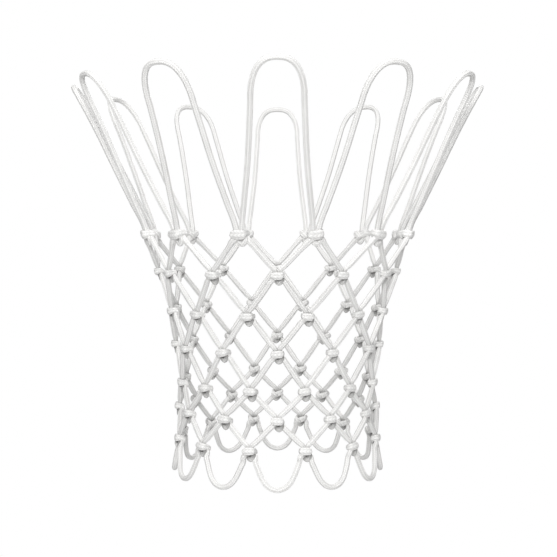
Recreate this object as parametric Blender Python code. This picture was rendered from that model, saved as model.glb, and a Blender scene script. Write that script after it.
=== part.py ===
"""A basketball hoop net, tied from white braided cord.

Twelve long loops hang on the hooks under a goal ring. Their cord ends in
bights, and six rounds of cord below are each tied to the round above with
sheet bends, the knot of every netting maker. A last round makes the twelve
short loops at the hem.

Metres, +Z up. The origin is the centre of the circle of hooks, at the height
of the cord in the loop tops. The first loop faces -Y.
"""

import math

import bpy
from mathutils import Matrix, Vector

# Driving dimensions of the cord and of the circle that it hangs from
CORD_DIAMETER = 0.0062
LOOP_COUNT = 12
HOOK_CIRCLE_RADIUS = 0.238

# The long top loops, measured in the plane of one loop
LOOP_ARCH_WIDTH = 0.0552
LOOP_ARCH_HEIGHT = 0.048
# How far each leg bows in towards the other one, halfway up
LOOP_LEG_BOW = 0.0014
# A half ellipse has the squareness 1, and a lower number makes squarer shoulders
ARCH_SQUARENESS = 0.78

# Each round of knots: its distance from the axis, and how far it hangs below the loop tops
ROW_1_RADIUS = 0.1535
ROW_2_RADIUS = 0.139
ROW_3_RADIUS = 0.1255
ROW_4_RADIUS = 0.1195
ROW_5_RADIUS = 0.114
ROW_6_RADIUS = 0.116
ROW_7_RADIUS = 0.118
ROW_1_DROP = 0.174
ROW_2_DROP = 0.217
ROW_3_DROP = 0.262
ROW_4_DROP = 0.303
ROW_5_DROP = 0.345
ROW_6_DROP = 0.377
ROW_7_DROP = 0.410

# The short loops of the hem
HEM_RADIUS = 0.122
HEM_DROP = 0.449

# Clearance between two cord ends that turn on each other
TURNING_GAP = 0.0004

# Faces round a cord: bevel_resolution 0 gives four and 1 gives six
MESH_CORD_RESOLUTION = 0
LOOP_CORD_RESOLUTION = 1

# Points along the arch of a loop, from one leg to the other
ARCH_STEPS = 8
HEM_STEPS = 6

# The sheet bend, in cord diameters: x runs along the round, y outwards and z up.
# The fourth number is the strand's radius, which is less where the knot is drawn tight.
# The bight of the upper cord hangs down as a narrow neck and a rounded eye.
BIGHT = (
    (-0.29, 0.00, 0.75, 0.27),
    (-0.65, 0.00, -1.04, 0.26),
    (0.00, 0.00, -1.58, 0.28),
    (0.65, 0.00, -1.04, 0.26),
    (0.29, 0.00, 0.75, 0.27),
)
# The lower cord crosses the eye outside, dives through it, goes round the neck as
# a plain band, and leaves under its own strand on the inner side.
WRAP = (
    (-1.05, 0.58, -1.02, 0.34),
    (-0.55, 0.68, -0.80, 0.28),
    (-0.02, 0.42, -0.79, 0.26),
    (0.06, -1.05, -0.82, 0.26),
    (0.49, -1.42, -0.10, 0.26),
    (1.12, -0.35, 0.42, 0.25),
    (0.80, 0.63, 0.45, 0.29),
    (-0.80, 0.63, 0.48, 0.29),
    (-1.12, -0.34, 0.39, 0.25),
    (-0.24, -0.70, 0.05, 0.26),
    (0.81, -0.60, -0.52, 0.30),
)
# The knot's middle lies this far below the middle of its band
KNOT_MIDDLE = -0.54
# A cord grows from its tight radius to its full one over this length
TAPER_LENGTH = 1.5
# The full radius of a cord; a four-sided one is a little larger to keep its weight
FULL_RADIUS = 0.5
FULL_SQUARE_RADIUS = 0.55
# Where the legs of two top loops turn, above the band of a first knot
NECK_TURN_X = 0.64
NECK_TURN_Z = 1.75
# Where the legs of two hem loops turn, below a last knot
HEM_TURN_X = 1.3
HEM_TURN_Z = -2.1
# The hem cord's way out of a last knot, down to its right turning point
HEM_EXIT = ((1.18, -0.42, -1.05, 0.32),)
# A cord end that turns: the stub's radius and length past the turning point, and the
# radius of both flat tips
STUB_RADIUS = 0.44
STUB_LENGTH = 0.42
TIP_RADIUS = 0.2
# The length over which the turning leg's tip grows to the full cord
TIP_LENGTH = 0.3

ROW_RADII = (ROW_1_RADIUS, ROW_2_RADIUS, ROW_3_RADIUS, ROW_4_RADIUS, ROW_5_RADIUS, ROW_6_RADIUS, ROW_7_RADIUS)
ROW_DROPS = (ROW_1_DROP, ROW_2_DROP, ROW_3_DROP, ROW_4_DROP, ROW_5_DROP, ROW_6_DROP, ROW_7_DROP)
ROW_COUNT = len(ROW_RADII)
LOOP_STEP = 2 * math.pi / LOOP_COUNT

CORD_COLOUR = (0.86, 0.85, 0.83, 1.0)
CORD_ROUGHNESS = 0.8


def clear_scene():
    for thing in list(bpy.data.objects):
        bpy.data.objects.remove(thing, do_unlink=True)


def cord_material(name):
    material = bpy.data.materials.new(name)
    material.use_nodes = True
    shader = material.node_tree.nodes["Principled BSDF"]
    shader.inputs["Base Color"].default_value = CORD_COLOUR
    shader.inputs["Roughness"].default_value = CORD_ROUGHNESS
    shader.inputs["Metallic"].default_value = 0.0
    return material


def outward(azimuth):
    """The level direction away from the axis. Azimuth 0 is -Y and grows towards +X."""
    return Vector((math.sin(azimuth), -math.cos(azimuth), 0.0))


def along(azimuth):
    """The level direction round the net, towards growing azimuth."""
    return Vector((math.cos(azimuth), math.sin(azimuth), 0.0))


def knot_azimuth(row, index):
    """Odd rounds of knots stand between the loops, even ones below their middles."""
    return LOOP_STEP * (index + (0.5 if row % 2 else 0.0))


def wall_lean(row):
    """The angle of the net's wall from upright at a round of knots, read from its neighbours."""
    radii = (HOOK_CIRCLE_RADIUS,) + ROW_RADII + (HEM_RADIUS,)
    drops = (0.0,) + ROW_DROPS + (HEM_DROP,)
    upper = max(row - 1, 1)
    lower = row + 1
    return math.atan2(radii[upper] - radii[lower], drops[lower] - drops[upper])


def knot_point(row, index, x, y, z):
    """A point of a knot, given in cord diameters, in the frame of the net."""
    azimuth = knot_azimuth(row, index)
    lean = wall_lean(row)
    out = outward(azimuth)
    upright = Vector((0.0, 0.0, 1.0))
    up_wall = out * math.sin(lean) + upright * math.cos(lean)
    off_wall = out * math.cos(lean) - upright * math.sin(lean)
    middle = out * ROW_RADII[row - 1] - upright * ROW_DROPS[row - 1]
    rise = z - KNOT_MIDDLE
    return middle + (along(azimuth) * x + off_wall * y + up_wall * rise) * CORD_DIAMETER


def strand(row, index, shape):
    """The points of one cord in a knot, each with its radius in metres."""
    return [(knot_point(row, index, x, y, z), radius * CORD_DIAMETER) for x, y, z, radius in shape]


def leg(start, end, radius):
    """The two full points of a straight leg from one tight point to the next."""
    run = (end - start).normalized() * TAPER_LENGTH * CORD_DIAMETER
    return [(start + run, radius), (end - run, radius)]


def stub(turn, leg_direction):
    """The fixed cord end inside a turning point, listed from its tip inwards."""
    tip = turn + leg_direction * STUB_LENGTH * CORD_DIAMETER
    return [(tip, TIP_RADIUS * CORD_DIAMETER), (turn, STUB_RADIUS * CORD_DIAMETER)]


def turning_tip(turn, leg_direction):
    """The moving cord end that meets a stub, listed from its tip to the full cord."""
    tip = turn + leg_direction * (STUB_LENGTH * CORD_DIAMETER + TURNING_GAP)
    full = tip + leg_direction * TIP_LENGTH * CORD_DIAMETER
    return [(tip, TIP_RADIUS * CORD_DIAMETER), (full, FULL_RADIUS * CORD_DIAMETER)]


def mesh_round(row):
    """One round of cord: sheet bends on the round of knots above it, bights for the one below."""
    radius = FULL_SQUARE_RADIUS * CORD_DIAMETER
    path = []
    below_shift = 0 if row % 2 == 0 else 1
    for index in range(LOOP_COUNT):
        wrap = strand(row, index, WRAP)
        bight = strand(row + 1, index + below_shift, BIGHT)
        next_wrap = strand(row, index + 1, WRAP)
        path += wrap
        path += leg(wrap[-1][0], bight[0][0], radius)
        path += bight
        path += leg(bight[-1][0], next_wrap[0][0], radius)
    return path


def first_turn(index, side):
    """Where a leg of a top loop turns, at the right (+1) or left (-1) of a first knot."""
    return knot_point(1, index, side * NECK_TURN_X, 0.0, NECK_TURN_Z)


def top_arch(index):
    """The arch of one long loop in its own leaning plane, and the middle of its turning line."""
    left = first_turn(index - 1, 1)
    right = first_turn(index, -1)
    middle = (left + right) / 2
    apex = outward(LOOP_STEP * index) * HOOK_CIRCLE_RADIUS
    across = (right - left).normalized()
    up = (apex - middle).normalized()
    spring_line = (apex - middle).length - LOOP_ARCH_HEIGHT
    arch = []
    for step in range(ARCH_STEPS + 1):
        angle = math.pi * step / ARCH_STEPS
        share = math.copysign(abs(math.cos(angle)) ** ARCH_SQUARENESS, -math.cos(angle))
        rise = spring_line + math.sin(angle) ** ARCH_SQUARENESS * LOOP_ARCH_HEIGHT
        arch.append(middle + across * share * LOOP_ARCH_WIDTH / 2 + up * rise)
    return arch, middle


def top_leg_direction(index, side):
    """The direction in which a leg of a top loop leaves the right or left of a first knot."""
    arch, _ = top_arch(index + 1 if side > 0 else index)
    foot = arch[0] if side > 0 else arch[-1]
    return (foot - first_turn(index, side)).normalized()


def top_loop(index):
    """One long loop, from its left turning point to its right one."""
    arch, middle = top_arch(index)
    left_tip = turning_tip(first_turn(index - 1, 1), top_leg_direction(index - 1, 1))
    right_tip = turning_tip(first_turn(index, -1), top_leg_direction(index, -1))
    inward = (arch[-1] - arch[0]).normalized() * LOOP_LEG_BOW
    left_bow = left_tip[-1][0].lerp(arch[0], 0.5) + inward
    right_bow = right_tip[-1][0].lerp(arch[-1], 0.5) - inward
    full = [(place, FULL_RADIUS * CORD_DIAMETER) for place in [left_bow] + arch + [right_bow]]
    return left_tip + full + right_tip[::-1], middle


def first_bight(index):
    """The eye of the top cord inside a first knot, with its two ends above the band."""
    left_stub = stub(first_turn(index, -1), top_leg_direction(index, -1))
    right_stub = stub(first_turn(index, 1), top_leg_direction(index, 1))
    return left_stub + strand(1, index, BIGHT) + right_stub[::-1]


def last_turn(index, side):
    """Where a leg of a hem loop turns, at the right (+1) or left (-1) of a last knot."""
    return knot_point(ROW_COUNT, index, side * HEM_TURN_X, 0.0, HEM_TURN_Z)


def hem_line(index):
    """The ends and middle of a hem loop's turning line, and the run from there to its lowest point."""
    left = last_turn(index - 1, 1)
    right = last_turn(index, -1)
    middle = (left + right) / 2
    bottom = outward(LOOP_STEP * index) * HEM_RADIUS - Vector((0.0, 0.0, HEM_DROP))
    return left, right, middle, bottom - middle


def hem_loop(index):
    """One short loop of the hem, hanging between two last knots."""
    left, right, middle, fall = hem_line(index)
    across = (right - left) / 2
    down = fall.normalized()
    left_tip = turning_tip(left, down)
    right_tip = turning_tip(right, down)
    start = (left_tip[-1][0] - left).length
    arch = []
    for step in range(1, HEM_STEPS):
        angle = math.pi * step / HEM_STEPS
        depth = start + math.sin(angle) * (fall.length - start)
        place = middle - across * math.cos(angle) + down * depth
        arch.append((place, FULL_RADIUS * CORD_DIAMETER))
    return left_tip + arch + right_tip[::-1], middle


def last_knot(index):
    """The sheet bend of the hem cord on a last bight, with its two ends below the knot."""
    left_down = hem_line(index)[3].normalized()
    right_down = hem_line(index + 1)[3].normalized()
    left_stub = stub(last_turn(index, -1), left_down)
    right_stub = stub(last_turn(index, 1), right_down)
    return left_stub + strand(ROW_COUNT, index, WRAP + HEM_EXIT) + right_stub[::-1]


def cord(name, path, closed, resolution, origin=Vector((0.0, 0.0, 0.0))):
    """One cord as a bevelled curve, with its origin on the line that it turns about."""
    curve = bpy.data.curves.new(name, "CURVE")
    curve.dimensions = "3D"
    curve.bevel_depth = CORD_DIAMETER
    curve.bevel_resolution = resolution
    curve.use_fill_caps = not closed
    curve.twist_mode = "MINIMUM"
    spline = curve.splines.new("POLY")
    spline.use_cyclic_u = closed
    spline.use_smooth = True
    spline.points.add(len(path) - 1)
    for point, (place, radius) in zip(spline.points, path):
        point.co = (place - origin).to_4d()
        point.radius = radius / CORD_DIAMETER
    curve.materials.append(cord_material(name + "_cord"))
    piece = bpy.data.objects.new(name, curve)
    piece.matrix_world = Matrix.Translation(origin)
    bpy.context.scene.collection.objects.link(piece)
    return piece


def least_gap(path, closed, samples=4):
    """The least clear distance from a cord to itself, between stretches two or more points apart."""
    count = len(path)
    spans = count if closed else count - 1
    spots = []
    for span in range(spans):
        (start, thick), (end, thin) = path[span], path[(span + 1) % count]
        for step in range(samples):
            share = (step + 0.5) / samples
            spots.append((span, start.lerp(end, share), thick + (thin - thick) * share))
    least = math.inf
    for place, (span, spot, radius) in enumerate(spots):
        for other_span, other, other_radius in spots[place + 1:]:
            apart = other_span - span
            if apart < 2 or (closed and spans - apart < 2):
                continue
            least = min(least, (other - spot).length - radius - other_radius)
    return least


def build_net():
    for index in range(LOOP_COUNT):
        path, middle = top_loop(index)
        cord(f"top_loop_{index + 1:02d}", path, False, LOOP_CORD_RESOLUTION, middle)
        cord(f"first_bight_{index + 1:02d}", first_bight(index), False, MESH_CORD_RESOLUTION)
    for row in range(1, ROW_COUNT):
        path = mesh_round(row)
        cord(f"mesh_round_{row}", path, True, MESH_CORD_RESOLUTION)
        one_knot = path[: len(WRAP) + len(BIGHT) + 4]
        print(f"mesh round {row}: least gap to itself {least_gap(one_knot, False) * 1000:.2f} mm")
    for index in range(LOOP_COUNT):
        cord(f"last_knot_{index + 1:02d}", last_knot(index), False, MESH_CORD_RESOLUTION)
        path, middle = hem_loop(index)
        cord(f"hem_loop_{index + 1:02d}", path, False, LOOP_CORD_RESOLUTION, middle)
    print(f"last knot: least gap to itself {least_gap(last_knot(0), False) * 1000:.2f} mm")
    print(f"top loops turn at {first_turn(0, -1)[:]} and hem loops at {last_turn(0, -1)[:]}")


clear_scene()
build_net()
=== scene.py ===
# %% [markdown]
# # A basketball hoop net, tied from braided cord
#
# The net is cord and nothing else: twelve long loops for the hooks of a goal ring, seven rounds of
# knots that draw in to a waist, and twelve short loops at the hem. Every knot is a sheet bend.
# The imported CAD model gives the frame: its bodies, its joints and the room that each cord may take.

# %% Load the frame
import math

import bpy
import numpy as np
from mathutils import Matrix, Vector


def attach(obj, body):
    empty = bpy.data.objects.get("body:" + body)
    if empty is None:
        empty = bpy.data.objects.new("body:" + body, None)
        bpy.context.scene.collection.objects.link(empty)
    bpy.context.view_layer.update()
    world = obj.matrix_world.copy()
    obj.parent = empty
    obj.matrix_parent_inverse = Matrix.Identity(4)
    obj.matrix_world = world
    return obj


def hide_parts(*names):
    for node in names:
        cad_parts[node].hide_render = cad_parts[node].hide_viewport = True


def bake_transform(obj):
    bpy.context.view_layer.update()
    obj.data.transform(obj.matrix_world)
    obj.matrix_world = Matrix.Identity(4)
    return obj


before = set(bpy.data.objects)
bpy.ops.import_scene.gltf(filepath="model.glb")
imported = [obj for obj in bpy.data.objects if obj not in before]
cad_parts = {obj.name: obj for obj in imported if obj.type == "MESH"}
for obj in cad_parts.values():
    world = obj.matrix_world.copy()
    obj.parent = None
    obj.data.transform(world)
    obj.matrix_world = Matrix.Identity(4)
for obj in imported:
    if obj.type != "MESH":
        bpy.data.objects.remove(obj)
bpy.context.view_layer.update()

# %% [markdown]
# ## The camera
#
# The camera comes first, because everything is compared with the photograph through it. It could be
# turned by hand until the picture looks right; here it was fitted to about fifty knots and loop tops
# of the photograph, and stands level with the first round of knots, 1.35 m from the axis.

# %% Camera
PICTURE_PIXELS = 557
FOCAL_PIXELS = 1143.0
SENSOR_WIDTH = 36.0
CAMERA_DISTANCE = 1.350
CAMERA_HEIGHT = -0.1704
CAMERA_PITCH = 2.276
AXIS_LEFT_OF_MIDDLE = 1.1

lens = bpy.data.cameras.new("photo_camera")
lens.sensor_width = SENSOR_WIDTH
lens.lens = FOCAL_PIXELS / PICTURE_PIXELS * SENSOR_WIDTH
lens.shift_x = AXIS_LEFT_OF_MIDDLE / PICTURE_PIXELS
camera = bpy.data.objects.new("photo_camera", lens)
camera.location = (0.0, -CAMERA_DISTANCE, CAMERA_HEIGHT)
camera.rotation_euler = (math.radians(90.0 - CAMERA_PITCH), 0.0, 0.0)
bpy.context.scene.collection.objects.link(camera)
bpy.context.scene.camera = camera
print(f"camera lens {lens.lens:.1f} mm, {CAMERA_DISTANCE} m from the axis")

# %% [markdown]
# ## The sizes of the net
#
# These are the driving sizes of the CAD model, in metres: the cord, the circle of hooks, and the
# distance from the axis and the drop of each round of knots. The scene repeats them, so that each
# finished cord lies where its solid lies, to within half a cord.

# %% Sizes
CORD = 0.0062
LOOPS = 12
LOOP_STEP = 2 * math.pi / LOOPS
HOOK_RADIUS = 0.238
ARCH_WIDTH = 0.0552
ARCH_HEIGHT = 0.048
ROW_RADII = (0.1535, 0.139, 0.1255, 0.1195, 0.114, 0.116, 0.118)
ROW_DROPS = (0.174, 0.217, 0.262, 0.303, 0.345, 0.377, 0.410)
ROWS = len(ROW_RADII)
HEM_RADIUS = 0.122
HEM_DROP = 0.449
UP = Vector((0.0, 0.0, 1.0))


def outward(azimuth):
    """The level direction away from the axis. Azimuth 0 faces the camera and grows to its right."""
    return Vector((math.sin(azimuth), -math.cos(azimuth), 0.0))


def around(azimuth):
    """The level direction round the net, towards growing azimuth."""
    return Vector((math.cos(azimuth), math.sin(azimuth), 0.0))


def knot_azimuth(row, index):
    """Odd rounds of knots stand between the loops, even ones below their middles."""
    return LOOP_STEP * (index + (0.5 if row % 2 else 0.0))


print("rounds of knots", ROWS, "knots", ROWS * LOOPS)

# %% [markdown]
# ## A way to write nodes
#
# Shader and geometry nodes are easier to read as arithmetic. Each node could be made and linked by
# hand, three lines at a time. Instead a small class wraps an output socket, so that `1 - groove` adds
# the Math node by itself, and one method makes every other kind of node.

# %% Node helpers
class Wire:
    """A node's output in plain arithmetic: every operator adds a Math node."""

    def __init__(self, bench, socket):
        self.bench = bench
        self.socket = socket

    def math(self, operation, first, second):
        return self.bench.node("ShaderNodeMath", {"operation": operation}, {0: first, 1: second})

    def __add__(self, other):
        return self.math("ADD", self, other)

    def __sub__(self, other):
        return self.math("SUBTRACT", self, other)

    def __rsub__(self, other):
        return self.math("SUBTRACT", other, self)

    def __mul__(self, other):
        return self.math("MULTIPLY", self, other)

    def __mod__(self, other):
        return self.math("FLOORED_MODULO", self, other)

    def __gt__(self, other):
        return self.math("GREATER_THAN", self, other)

    __radd__ = __add__
    __rmul__ = __mul__


class Bench:
    """A node tree, and the one method that puts a node on it."""

    def __init__(self, tree):
        self.tree = tree
        tree.nodes.clear()

    def node(self, kind, settings=(), sockets=(), out=0):
        made = self.tree.nodes.new(kind)
        for label, value in dict(settings).items():
            setattr(made, label, value)
        for label, value in dict(sockets).items():
            if isinstance(value, Wire):
                self.tree.links.new(value.socket, made.inputs[label])
            else:
                made.inputs[label].default_value = value
        return Wire(self, made.outputs[out]) if len(made.outputs) else made

    def vector(self, operation, first, second=None, out=0):
        sockets = {0: first}
        if second is not None:
            sockets["Scale" if operation == "SCALE" else 1] = second
        return self.node("ShaderNodeVectorMath", {"operation": operation}, sockets, out)


print("node helpers ready")

# %% [markdown]
# ## The finish: white braided cord
#
# A net cord is braided from white nylon yarn in long plaits that run along it, and in each plait the
# yarn makes a row of Vs. An image could show that, but it would blur close up, so the pattern is
# worked out from the cord's own UV map: u goes once round the cord, and v counts cord diameters along
# it. The same height gives the bump, paints shade into the grooves and makes them duller. Clouds a few
# centimetres wide make the white a little uneven, as handled cord is. Cord inside a knot gets painted
# shade, a greyer colour for the little light that comes in there. The sweep writes where that is.

# %% Braided cord material
PLAITS = 6
YARNS_PER_DIAMETER = 2.4
YARN_SLANT = 1.5
YARN_ROUNDNESS = 3.0
PLAIT_ROUNDNESS = 3.6
FUZZ_HEIGHT = 0.25
BUMP_DEPTH = 0.0004
CLOUD_SCALE = 34.0
FUZZ_SCALE = 2600.0
CORD_WHITE = (0.875, 0.872, 0.862, 1.0)
# Painted shade: the grey of the braid's grooves
PAINTED_GROOVE_SHADE = (0.56, 0.555, 0.545, 1.0)
# Painted shade: the grey of cord inside a knot
PAINTED_KNOT_SHADE_GREY = (0.10, 0.098, 0.094, 1.0)
# How much the height of the braid and the clouds turn the painted groove shade into the cord's white
HEIGHT_LIGHTENS = 0.75
CLOUDS_LIGHTEN = 0.35
GROOVE_SHARE = 0.05
# The roughness, and how much the height of the braid and the clouds change it
CORD_ROUGHNESS = 0.72
HEIGHT_POLISHES = 0.16
CLOUDS_DULL = 0.06


def braided_cord():
    material = bpy.data.materials.new("white_braided_cord")
    material.use_nodes = True
    bench = Bench(material.node_tree)
    place = bench.node("ShaderNodeUVMap", {"uv_map": "UVMap"})
    round_it = bench.node("ShaderNodeSeparateXYZ", sockets={0: place}, out="X") * PLAITS
    along_it = bench.node("ShaderNodeSeparateXYZ", sockets={0: place}, out="Y")
    across = round_it % 1.0 - 0.5
    from_middle = bench.node("ShaderNodeMath", {"operation": "ABSOLUTE"}, {0: across})
    yarn = (along_it * YARNS_PER_DIAMETER + from_middle * YARN_SLANT) % 1.0 - 0.5
    yarn_crown = 1.0 - yarn * yarn * YARN_ROUNDNESS
    plait_crown = 1.0 - across * across * PLAIT_ROUNDNESS
    height = yarn_crown * plait_crown
    object_place = bench.node("ShaderNodeTexCoord", out="Object")
    clouds = bench.node("ShaderNodeTexNoise", {"noise_dimensions": "3D"},
                        {"Vector": object_place, "Scale": CLOUD_SCALE, "Detail": 2.0})
    fuzz = bench.node("ShaderNodeTexNoise", {"noise_dimensions": "3D"},
                      {"Vector": object_place, "Scale": FUZZ_SCALE, "Detail": 1.0})
    lit = height * HEIGHT_LIGHTENS + clouds * CLOUDS_LIGHTEN - GROOVE_SHARE
    # The braid's height paints shade into its grooves, and the clouds vary the white
    shade = bench.node("ShaderNodeMix", {"data_type": "RGBA", "clamp_factor": True},
                       {0: lit, 6: PAINTED_GROOVE_SHADE, 7: CORD_WHITE}, out=2)
    # Painted shade where cord lies inside a knot, as the sweep marks it
    painted_knot_shade = bench.node("ShaderNodeAttribute", {"attribute_name": "painted_knot_shade"}, out="Fac")
    shade = bench.node("ShaderNodeMix", {"data_type": "RGBA", "clamp_factor": True},
                       {0: painted_knot_shade, 6: shade, 7: PAINTED_KNOT_SHADE_GREY}, out=2)
    bump = bench.node("ShaderNodeBump", sockets={"Strength": 0.7, "Distance": BUMP_DEPTH,
                                                 "Height": height + fuzz * FUZZ_HEIGHT})
    shader = bench.node("ShaderNodeBsdfPrincipled", sockets={
        "Base Color": shade,
        "Roughness": CORD_ROUGHNESS - height * HEIGHT_POLISHES + clouds * CLOUDS_DULL,
        "Specular IOR Level": 0.35,
        "Sheen Weight": 0.12,
        "Sheen Roughness": 0.5,
        "Normal": bump,
    })
    bench.node("ShaderNodeOutputMaterial", sockets={"Surface": shader})
    return material


CORD_FINISH = braided_cord()
print("finish", CORD_FINISH.name, "with", len(CORD_FINISH.node_tree.nodes), "nodes")

# %% [markdown]
# ## Sweeping a cord along its route
#
# A bevelled curve would do for a plain tube, but in a knot a braided cord is pressed flat against its
# neighbour. So Geometry Nodes sweep a round profile with six low plaits along the route, and then
# squeeze each ring towards its own middle, in the direction and by the share that the route says.
# The squeezed cord widens the other way. The tree also writes the UV map for the braid, and marks the
# stretches that are drawn thin, because those lie inside a knot and get painted shade.

# %% Sweep tree
SIDES = 30
PLAIT_DEPTH = 0.035
WIDENING = 0.5
# A strand thinner than this lies inside a knot, and gets painted shade at this rate as it gets thinner
OPEN_RADIUS = 0.46 * CORD
PAINTED_SHADE_RATE = 9.0 / CORD
# A corner that lies this share of a turn before its face's middle is the start of the next turn
SEAM_STEP = 0.25
SWEEP_SIZES = {"Sides": SIDES, "Plaits": PLAITS, "Plait Depth": PLAIT_DEPTH, "Widening": WIDENING,
               "Open Radius": OPEN_RADIUS, "Painted Shade Rate": PAINTED_SHADE_RATE}
ROUTE_FACTS = ("strand_radius", "middle", "press", "along")


def sweep_tree():
    tree = bpy.data.node_groups.new("cord_sweep", "GeometryNodeTree")
    sockets = {"Route": "Geometry", "Sides": "Int", "Plaits": "Int", "Plait Depth": "Float",
               "Widening": "Float", "Open Radius": "Float", "Painted Shade Rate": "Float", "Finish": "Material"}
    for label, kind in sockets.items():
        tree.interface.new_socket(label, in_out="INPUT", socket_type="NodeSocket" + kind)
    tree.interface.new_socket("Cord", in_out="OUTPUT", socket_type="NodeSocketGeometry")
    bench = Bench(tree)
    entry = tree.nodes.new("NodeGroupInput")
    given = {label: Wire(bench, entry.outputs[label]) for label in sockets}

    def fact(name, kind="FLOAT"):
        return bench.node("GeometryNodeInputNamedAttribute", {"data_type": kind}, {"Name": name})

    share_round = bench.node("GeometryNodeSplineParameter")
    ring = bench.node("GeometryNodeCurvePrimitiveCircle", sockets={
        "Resolution": given["Sides"], "Radius": 1.0})
    ring = bench.node("GeometryNodeStoreNamedAttribute", {"data_type": "FLOAT", "domain": "POINT"},
                      {"Geometry": ring, "Name": "round_it", "Value": share_round})
    wave = bench.node("ShaderNodeMath", {"operation": "COSINE"},
                      {0: (fact("round_it") * given["Plaits"] - 0.5) * (2 * math.pi)})
    position = bench.node("GeometryNodeInputPosition")
    lobed = bench.vector("SCALE", position, wave * given["Plait Depth"] + 1.0 - given["Plait Depth"])
    ring = bench.node("GeometryNodeSetPosition", sockets={"Geometry": ring, "Position": lobed})

    line = bench.node("GeometryNodeMeshToCurve", sockets={"Mesh": given["Route"]})
    tube = bench.node("GeometryNodeCurveToMesh", sockets={
        "Curve": line, "Profile Curve": ring, "Scale": fact("strand_radius"), "Fill Caps": True})

    press = fact("press", "FLOAT_VECTOR")
    middle = fact("middle", "FLOAT_VECTOR")
    share = bench.vector("LENGTH", press, out="Value")
    facing = bench.vector("NORMALIZE", press)
    offset = bench.vector("SUBTRACT", position, middle)
    depth = bench.vector("SCALE", facing, bench.vector("DOT_PRODUCT", offset, facing, out="Value"))
    flat = bench.vector("SCALE", bench.vector("SUBTRACT", offset, depth), share * given["Widening"] + 1.0)
    thin = bench.vector("SCALE", depth, 1.0 - share)
    pressed = bench.vector("ADD", middle, bench.vector("ADD", thin, flat))
    tube = bench.node("GeometryNodeSetPosition", sockets={"Geometry": tube, "Position": pressed})

    u = fact("round_it")
    face_middle = bench.node("GeometryNodeFieldOnDomain", {"data_type": "FLOAT", "domain": "FACE"}, {0: u})
    seam = (face_middle - u) > SEAM_STEP
    uv = bench.node("ShaderNodeCombineXYZ", sockets={0: u + seam, 1: fact("along")})
    tube = bench.node("GeometryNodeStoreNamedAttribute", {"data_type": "FLOAT2", "domain": "CORNER"},
                      {"Geometry": tube, "Name": "UVMap", "Value": uv})
    # Painted shade: how much darker a thin strand inside a knot is painted
    painted_knot_shade = bench.node("ShaderNodeMath", {"operation": "MULTIPLY", "use_clamp": True},
                        {0: given["Open Radius"] - fact("strand_radius"), 1: given["Painted Shade Rate"]})
    tube = bench.node("GeometryNodeStoreNamedAttribute", {"data_type": "FLOAT", "domain": "POINT"},
                      {"Geometry": tube, "Name": "painted_knot_shade", "Value": painted_knot_shade})
    for name in ROUTE_FACTS + ("round_it",):
        tube = bench.node("GeometryNodeRemoveAttribute", sockets={"Geometry": tube, "Name": name})
    tube = bench.node("GeometryNodeSetShadeSmooth", sockets={"Geometry": tube})
    tube = bench.node("GeometryNodeRealizeInstances", sockets={"Geometry": tube})
    tube = bench.node("GeometryNodeSetMaterial", sockets={"Geometry": tube, "Material": given["Finish"]})
    bench.node("NodeGroupOutput", sockets={"Cord": tube})
    return tree


SWEEP = sweep_tree()
SWEEP_KEYS = {item.name: item.identifier for item in SWEEP.interface.items_tree if item.in_out == "INPUT"}
print("sweep tree with", len(SWEEP.nodes), "nodes")

# %% [markdown]
# ## From a route to a finished cord
#
# A route is a short list of places with the cord's radius there, and how it is pressed. A smooth line
# goes through all of them: at each place its direction is that of the parabola through the place and
# its two neighbours, so that a short turn beside a long straight leg doesn't swing out. The line gets
# a ring every millimetre or two in a knot, and every few millimetres along a leg.

# %% Cord maker
KNOT_RING = 0.20 * CORD
LEG_RING = 0.9 * CORD
LONG_SPAN = 4.0 * CORD
# The columns of a line: three for the place, one for the radius and three for the press
PLACE = slice(0, 3)
RADIUS = 3
PRESS = slice(4, 7)


def smooth(route, closed):
    """Rows of place, radius and press, close together on a smooth line through the route."""
    rows = np.array([[*place, radius, *press] for place, radius, press in route])
    if closed:
        rows = np.vstack([rows[-1:], rows, rows[:2]])
    steps = np.diff(rows, axis=0)
    spans = np.linalg.norm(steps[:, PLACE], axis=1)
    slopes = steps / spans[:, None]
    before, after = spans[:-1, None], spans[1:, None]
    turns = (slopes[1:] * before + slopes[:-1] * after) / (before + after)
    turns = np.vstack([slopes[:1], turns, slopes[-1:]])
    first = 1 if closed else 0
    last = len(rows) - (2 if closed else 1)
    line = []
    for place in range(first, last):
        span = spans[place]
        pieces = max(2, math.ceil(span / (KNOT_RING if span < LONG_SPAN else LEG_RING)))
        for piece in range(pieces):
            t = piece / pieces
            straight = (1 + 2 * t) * (1 - t) ** 2 * rows[place] + t * t * (3 - 2 * t) * rows[place + 1]
            bend = (t * (1 - t) ** 2 * turns[place] - t * t * (1 - t) * turns[place + 1]) * span
            line.append(straight + bend)
    if not closed:
        line.append(rows[-1])
    line = np.array(line)
    radii = rows[first:, RADIUS]
    line[:, RADIUS] = line[:, RADIUS].clip(radii.min(), radii.max())
    return line


def route_mesh(name, line, closed):
    """The line as a mesh of edges, whose points carry what the sweep needs to know."""
    count = len(line)
    edges = [(place, place + 1) for place in range(count - 1)]
    if closed:
        edges.append((count - 1, 0))
    mesh = bpy.data.meshes.new(name + "_route")
    mesh.from_pydata(line[:, PLACE].tolist(), edges, [])
    lengths = np.linalg.norm(np.diff(line[:, PLACE], axis=0), axis=1)
    along = np.concatenate([[0.0], np.cumsum(lengths)]) / CORD
    facts = (line[:, RADIUS], line[:, PLACE], line[:, PRESS], along)
    for label, values in zip(ROUTE_FACTS, facts):
        vectors = values.ndim == 2
        fact = mesh.attributes.new(label, "FLOAT_VECTOR" if vectors else "FLOAT", "POINT")
        fact.data.foreach_set("vector" if vectors else "value", values.astype(np.float32).ravel())
    return mesh


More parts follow.
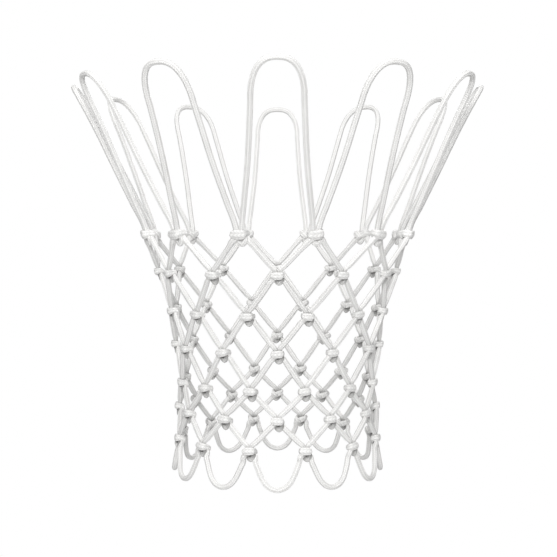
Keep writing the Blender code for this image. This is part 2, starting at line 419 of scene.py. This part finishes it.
def make_cord(name, route, closed=False):
    """The swept cord of a route as a plain mesh, and the points down its middle."""
    line = smooth(route, closed)
    mesh = route_mesh(name, line, closed)
    carrier = bpy.data.objects.new(name + "_route", mesh)
    bpy.context.scene.collection.objects.link(carrier)
    sweep = carrier.modifiers.new("sweep", "NODES")
    sweep.node_group = SWEEP
    for label, value in SWEEP_SIZES.items():
        sweep[SWEEP_KEYS[label]] = value
    sweep[SWEEP_KEYS["Finish"]] = CORD_FINISH
    bpy.context.view_layer.update()
    swept = bpy.data.meshes.new_from_object(carrier.evaluated_get(bpy.context.evaluated_depsgraph_get()))
    swept.name = name
    carrier.modifiers.remove(sweep)
    bpy.data.objects.remove(carrier)
    bpy.data.meshes.remove(mesh)
    piece = bpy.data.objects.new(name, swept)
    bpy.context.scene.collection.objects.link(piece)
    return piece, line[:, PLACE]


def declare_limp(line):
    """The length of a cord along its line."""
    length = float(np.linalg.norm(np.diff(line, axis=0), axis=1).sum())
    return length


print(f"rings every {KNOT_RING * 1000:.1f} mm in knots and {LEG_RING * 1000:.1f} mm on legs")

# %% [markdown]
# ## The sheet bend
#
# The netting knot joins two rounds of cord. The upper cord hangs down as a bight: a neck of two
# strands, and an eye below it. The lower cord comes up from the left outside the eye, dives through
# it, goes round the neck as a plain band, and leaves under its own strand on the inner side. A physics
# run could pull the knot tight, but would be hard to repeat exactly, so the route is a list
# in cord diameters: x along the round, y outwards, z up, the radius, and how far the cord is pressed
# flat along x and along y. It is the CAD model's knot, drawn tighter and with fuller strands.

# %% Knot routes
NO_PRESS = Vector((0.0, 0.0, 0.0))
KNOT_MIDDLE = -0.54
# The upper cord: down the neck, round the eye and up again
BIGHT = (
    (-0.34, 0.00, 0.84, 0.43, 0.00, 0.10),
    (-0.30, 0.00, 0.00, 0.36, 0.00, 0.25),
    (-0.32, -0.05, -0.68, 0.36, 0.00, 0.25),
    (0.28, 0.06, -1.36, 0.43, 0.00, 0.05),
    (0.80, 0.04, -0.68, 0.38, 0.00, 0.20),
    (0.34, 0.00, 0.00, 0.36, 0.00, 0.25),
    (0.34, 0.00, 0.84, 0.43, 0.00, 0.10),
)
# The lower cord after its dive: up behind the eye, round the neck and out under its own strand
WRAP = (
    (0.18, -0.20, -0.58, 0.34, 0.00, 0.00),
    (0.26, -0.66, -0.54, 0.42, 0.00, 0.45),
    (0.66, -0.80, -0.20, 0.46, 0.00, 0.48),
    (0.92, -0.20, 0.10, 0.46, 0.45, 0.00),
    (0.52, 0.54, 0.14, 0.58, 0.00, 0.40),
    (-0.52, 0.54, 0.14, 0.58, 0.00, 0.40),
    (-0.90, -0.20, 0.06, 0.46, 0.45, 0.00),
    (-0.28, -0.50, -0.16, 0.46, 0.00, 0.48),
    (0.56, -0.46, -0.52, 0.46, 0.00, 0.42),
    (1.04, -0.30, -0.92, 0.47, 0.00, 0.10),
)
# The lower cord before its dive: from the leg at the left to the middle of the eye
ENTRY = (
    (-1.04, 0.18, -0.96, 0.48, 0.00, 0.05),
    (-0.54, 0.30, -0.52, 0.42, 0.00, 0.25),
    (0.02, 0.12, -0.56, 0.34, 0.00, 0.10),
)
# The radius of a free cord and of a top loop, and the length over which a strand grows to it
FULL = 0.50
LOOP_FULL = 0.52
TAPER = 1.3
FIRST_KNOT_SIZE = 1.24
KNOT_DROP = 0.30
# The largest tilt of a knot, and the steps of the wave that spreads the tilts over the net
KNOT_TILT = 0.10
TILT_PER_KNOT = 2.4
TILT_PER_ROUND = 1.7


def wall_lean(row):
    """The angle of the net's wall from upright at a round of knots, read from its neighbours."""
    radii = (HOOK_RADIUS,) + ROW_RADII + (HEM_RADIUS,)
    drops = (0.0,) + ROW_DROPS + (HEM_DROP,)
    upper, lower = max(row - 1, 1), row + 1
    return math.atan2(radii[upper] - radii[lower], drops[lower] - drops[upper])


def knot_axes(row, index):
    """The directions along the round, off the wall and up the wall at a knot."""
    azimuth = knot_azimuth(row, index)
    lean = wall_lean(row)
    out = outward(azimuth)
    off_wall = out * math.cos(lean) - UP * math.sin(lean)
    up_wall = out * math.sin(lean) + UP * math.cos(lean)
    return around(azimuth), off_wall, up_wall


def knot_point(row, index, x, y, z):
    """A point of a knot, given in cord diameters."""
    along, off_wall, up_wall = knot_axes(row, index)
    middle = outward(knot_azimuth(row, index)) * ROW_RADII[row - 1] - UP * ROW_DROPS[row - 1]
    return middle + (along * x + off_wall * y + up_wall * (z - KNOT_MIDDLE)) * CORD


def tied(row, index, shape):
    """One strand of a knot as part of a route. No two knots of a round are tied quite alike."""
    along, off_wall, _ = knot_axes(row, index)
    size = FIRST_KNOT_SIZE if row == 1 else 1.0
    tilt = KNOT_TILT * math.sin(TILT_PER_KNOT * (index % LOOPS) + TILT_PER_ROUND * row)
    strand = []
    for x, y, z, radius, flat_x, flat_y in shape:
        rise = (z - KNOT_MIDDLE + x * tilt) * size - KNOT_DROP
        place = knot_point(row, index, x * size, y * size, KNOT_MIDDLE + rise)
        strand.append((place, radius * size * CORD, along * flat_x + off_wall * flat_y))
    return strand


def leg(start, end):
    """The full-sized points of a straight leg between two knots."""
    run = (end[0] - start[0]).normalized() * TAPER * CORD
    return [(start[0] + run, FULL * CORD, NO_PRESS), (end[0] - run, FULL * CORD, NO_PRESS)]


print("knot points", len(BIGHT), "in the bight and", len(ENTRY) + len(WRAP), "in the wrap")

# %% [markdown]
# ## Six rounds of mesh
#
# Each round is one unbroken cord: it is tied to the bight above, runs down to hang a bight for the
# round below, and comes up to the next knot, twelve times. One mesh could be copied round the net, but
# the braid would break where the copies meet, so one route goes all the way round. It starts inside a
# knot, where the end of the braid's pattern can't be seen.

# %% Mesh rounds
def mesh_route(row):
    """A whole round. Below an odd round of knots, the knot to the right has the next number."""
    route = []
    below = row % 2
    for index in range(LOOPS):
        wrap = tied(row, index, WRAP)
        bight = tied(row + 1, index + below, BIGHT)
        entry = tied(row, index + 1, ENTRY)
        route += wrap + leg(wrap[-1], bight[0]) + bight + leg(bight[-1], entry[0]) + entry
    return route


for row in range(1, ROWS):
    piece, _ = make_cord(f"mesh_cord_{row}", mesh_route(row), closed=True)
    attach(piece, "mesh")
    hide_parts(f"mesh_round_{row}")
    print(piece.name, len(piece.data.polygons), "faces")

# %% [markdown]
# ## The top cord
#
# The top cord makes the long loops. Between two loops it goes down into a knot of the first round as
# a bight. The loops swing on the bights, so they are separate pieces, which meet out of sight inside
# the band of the knot. In the photograph the loops curve outwards towards
# their tops, so the points of a flat loop are moved inwards a little, most below the arch.

# %% Top loops and first bights
# The end of a loop's leg: it starts in the bight's neck and comes up out of the band to its turn
NECK = (BIGHT[-2], (0.38, 0.00, 0.60, 0.43, 0.00, 0.10))
NECK_TURN = (0.64, 0.00, 1.75)
ARCH_STEPS = 12
ARCH_SQUARENESS = 0.78
# The photographed arch is this much narrower than that of the solids
ARCH_NARROWING = 0.0012
# The legs bow inwards by this much halfway up, and have one more point at a share of the way there
LEG_BOW = 0.0014
LEG_FOOT_SHARE = 0.35
# The most that a loop is moved inwards, at three quarters of its height, and what scales it to that
FLARE = 0.0025
FLARE_SCALE = 9.48
# Where a loop's bend starts and ends, up the loop from the line it turns about
LOOP_BENDS_FROM = -0.004
LOOP_BENDS_TO = 0.016


def mirrored(shape):
    return tuple((-row[0],) + row[1:] for row in reversed(shape))


def top_loop_route(index):
    """One long loop between two first knots, the middle of the line it turns about, and its way up."""
    left_turn = knot_point(1, index - 1, *NECK_TURN)
    right_turn = knot_point(1, index, -NECK_TURN[0], *NECK_TURN[1:])
    left = tied(1, index - 1, NECK) + [(left_turn, LOOP_FULL * CORD, NO_PRESS)]
    right = [(right_turn, LOOP_FULL * CORD, NO_PRESS)] + tied(1, index, mirrored(NECK))
    middle = (left_turn + right_turn) / 2
    apex = outward(LOOP_STEP * index) * HOOK_RADIUS
    across = (right_turn - left_turn).normalized()
    up = (apex - middle).normalized()
    reach = (apex - middle).length
    spring = reach - ARCH_HEIGHT

    def full(place):
        """A point of the loop at full thickness, moved inwards by the flare."""
        height = (place - middle).dot(up) / reach
        inwards = FLARE * FLARE_SCALE * height ** 3 * (1 - height)
        return place - outward(LOOP_STEP * index) * inwards, LOOP_FULL * CORD, NO_PRESS

    arch = []
    arch_width = ARCH_WIDTH - ARCH_NARROWING
    for step in range(ARCH_STEPS + 1):
        angle = math.pi * step / ARCH_STEPS
        share = -math.copysign(abs(math.cos(angle)) ** ARCH_SQUARENESS, math.cos(angle))
        rise = math.sin(angle) ** ARCH_SQUARENESS * ARCH_HEIGHT
        arch.append(middle + across * share * arch_width / 2 + up * (spring + rise))
    legs = []
    for foot, spring_end, side in ((left_turn, arch[0], -1), (right_turn, arch[-1], 1)):
        bowed = foot.lerp(spring_end, 0.5) - across * side * LEG_BOW
        legs.append([foot.lerp(bowed, LEG_FOOT_SHARE), bowed])
    return left + [full(place) for place in legs[0] + arch + legs[1][::-1]] + right, middle, up


for index in range(LOOPS):
    number = f"{index + 1:02d}"
    bight, _ = make_cord(f"first_bight_cord_{number}", tied(1, index, BIGHT[1:-1]))
    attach(bight, "mesh")
    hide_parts(f"first_bight_{number}")
    route, middle, up = top_loop_route(index)
    loop, line = make_cord(f"top_loop_cord_{number}", route)
    middle + up * LOOP_BENDS_FROM
    middle + up * LOOP_BENDS_TO
    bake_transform(loop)
    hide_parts(f"top_loop_{number}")
    length = declare_limp(line)
print(f"top loops, {len(loop.data.polygons)} faces each, {length * 1000:.0f} mm of cord each")

# %% [markdown]
# ## The hem cord
#
# The last cord is tied to the bights of the sixth round and hangs down between the knots in short
# loops, wider above than below. It could be one cord all round, but each loop swings by itself, so
# each piece here is one knot and the loop to its right. It ends in the eye of the next knot, where the
# next piece starts, so that no join shows.

# %% Hem loops and last knots
# Down one side of a loop: shares of half the way between the knots, and of the loop's fall
HEM_SHAPE = ((0.79, 0.22), (0.70, 0.42), (0.60, 0.61), (0.475, 0.79), (0.27, 0.94))
# The points of a knot that a loop's turning line passes, and where its bend starts and ends below
HEM_TURN = (1.30, 0.00, -2.10)
HEM_BENDS_FROM = -0.004
HEM_BENDS_TO = 0.016


def hem_route(index):
    """A knot and the hem loop to its right, the middle of the line it turns about, and its way down."""
    knot = tied(ROWS, index - 1, WRAP)
    entry = tied(ROWS, index, ENTRY + WRAP[:1])
    left_knot = knot_point(ROWS, index - 1, 0.0, 0.0, KNOT_MIDDLE)
    right_knot = knot_point(ROWS, index, 0.0, 0.0, KNOT_MIDDLE)
    top = (left_knot + right_knot) / 2
    half = (right_knot - left_knot) / 2
    fall = outward(LOOP_STEP * index) * HEM_RADIUS - UP * HEM_DROP - top
    left = [(top - half * wide + fall * deep, FULL * CORD, NO_PRESS) for wide, deep in HEM_SHAPE]
    bottom = [(top + fall, FULL * CORD, NO_PRESS)]
    right = [(top + half * wide + fall * deep, FULL * CORD, NO_PRESS) for wide, deep in reversed(HEM_SHAPE)]
    turn_left = knot_point(ROWS, index - 1, *HEM_TURN)
    turn_right = knot_point(ROWS, index, -HEM_TURN[0], *HEM_TURN[1:])
    turn = (turn_left + turn_right) / 2
    return knot + left + bottom + right + entry, turn, (top + fall - turn).normalized()


for index in range(LOOPS):
    number = f"{index + 1:02d}"
    route, turn, down = hem_route(index)
    hem, line = make_cord(f"hem_cord_{number}", route)
    turn + down * HEM_BENDS_FROM
    turn + down * HEM_BENDS_TO
    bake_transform(hem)
    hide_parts(f"hem_loop_{number}", f"last_knot_{(index - 1) % LOOPS + 1:02d}")
    length = declare_limp(line)
print(f"hem loops, {len(hem.data.polygons)} faces each, {length * 1000:.0f} mm of cord each")

# %% [markdown]
# ## Floor, light and background
#
# The photograph has a plain white ground. A white wall behind the net would do for one view, but the
# net is looked at from all sides. So a pale floor lies well below it and keeps its shadow, and to the
# camera both the floor and the world are mixed with plain white. The light is that of a white studio:
# soft lamps in front a little above the camera, overhead and behind the net, and an even glow from
# all round.

# %% Stage
FLOOR_HEIGHT = -0.66
FLOOR_SIZE = 14.0
FLOOR_COLOUR = (0.60, 0.60, 0.60, 1.0)
# Out to the first radius the floor shows this share of its shadow, and from the second it is plain white
SHADOW_EDGE = 0.24
WHITE_EDGE = 0.38
SHADOW_SHARE = 0.35
WORLD_LIGHT = 0.33
NET_CENTRE = Vector((0.0, 0.0, -0.22))


def white_to_camera(bench, surface, share):
    """The surface for the light, and mostly plain white for the camera, mirrors and glass."""
    seen = bench.node("ShaderNodeLightPath", out="Is Camera Ray")
    mirrored_ray = bench.node("ShaderNodeLightPath", out="Is Glossy Ray")
    through_ray = bench.node("ShaderNodeLightPath", out="Is Transmission Ray")
    white = bench.node("ShaderNodeEmission", sockets={"Color": (1.0, 1.0, 1.0, 1.0), "Strength": 1.0})
    shows = bench.node("ShaderNodeMath", {"operation": "ADD", "use_clamp": True},
                       {0: seen + mirrored_ray, 1: through_ray})
    return bench.node("ShaderNodeMixShader", sockets={0: shows * share, 1: surface, 2: white})


def make_floor():
    half = FLOOR_SIZE / 2
    corners = [(-half, -half), (half, -half), (half, half), (-half, half)]
    mesh = bpy.data.meshes.new("studio_floor")
    mesh.from_pydata([(x, y, FLOOR_HEIGHT) for x, y in corners], [], [(0, 1, 2, 3)])
    material = bpy.data.materials.new("pale_floor")
    material.use_nodes = True
    bench = Bench(material.node_tree)
    matte = bench.node("ShaderNodeBsdfDiffuse", sockets={"Color": FLOOR_COLOUR})
    level = bench.vector("MULTIPLY", bench.node("ShaderNodeTexCoord", out="Object"), (1.0, 1.0, 0.0))
    white_share = bench.node("ShaderNodeMapRange", {"interpolation_type": "SMOOTHSTEP"}, {
        "Value": bench.vector("LENGTH", level, out="Value"),
        "From Min": SHADOW_EDGE, "From Max": WHITE_EDGE,
        "To Min": 1.0 - SHADOW_SHARE, "To Max": 1.0})
    bench.node("ShaderNodeOutputMaterial", sockets={"Surface": white_to_camera(bench, matte, white_share)})
    mesh.materials.append(material)
    floor = bpy.data.objects.new("studio_floor", mesh)
    bpy.context.scene.collection.objects.link(floor)


def soft_lamp(name, place, size, power):
    lamp = bpy.data.lights.new(name, "AREA")
    lamp.shape = "SQUARE"
    lamp.size = size
    lamp.energy = power
    holder = bpy.data.objects.new(name, lamp)
    holder.location = place
    holder.rotation_euler = (NET_CENTRE - Vector(place)).to_track_quat("-Z", "Y").to_euler()
    bpy.context.scene.collection.objects.link(holder)


make_floor()
soft_lamp("front_softbox", (-0.10, -2.4, 0.45), 0.6, 42.0)
soft_lamp("top_softbox", (-0.10, -0.8, 1.95), 0.7, 24.0)
soft_lamp("back_softbox", (0.45, 2.4, 0.6), 0.8, 42.0)
world = bpy.data.worlds.new("white_studio")
world.use_nodes = True
bench = Bench(world.node_tree)
glow = bench.node("ShaderNodeBackground", sockets={"Color": (1.0, 1.0, 1.0, 1.0), "Strength": WORLD_LIGHT})
bench.node("ShaderNodeOutputWorld", sockets={"Surface": white_to_camera(bench, glow, 1.0)})
bpy.context.scene.world = world
bpy.context.scene.view_settings.view_transform = "Standard"
print("floor, three soft lamps and a white world")
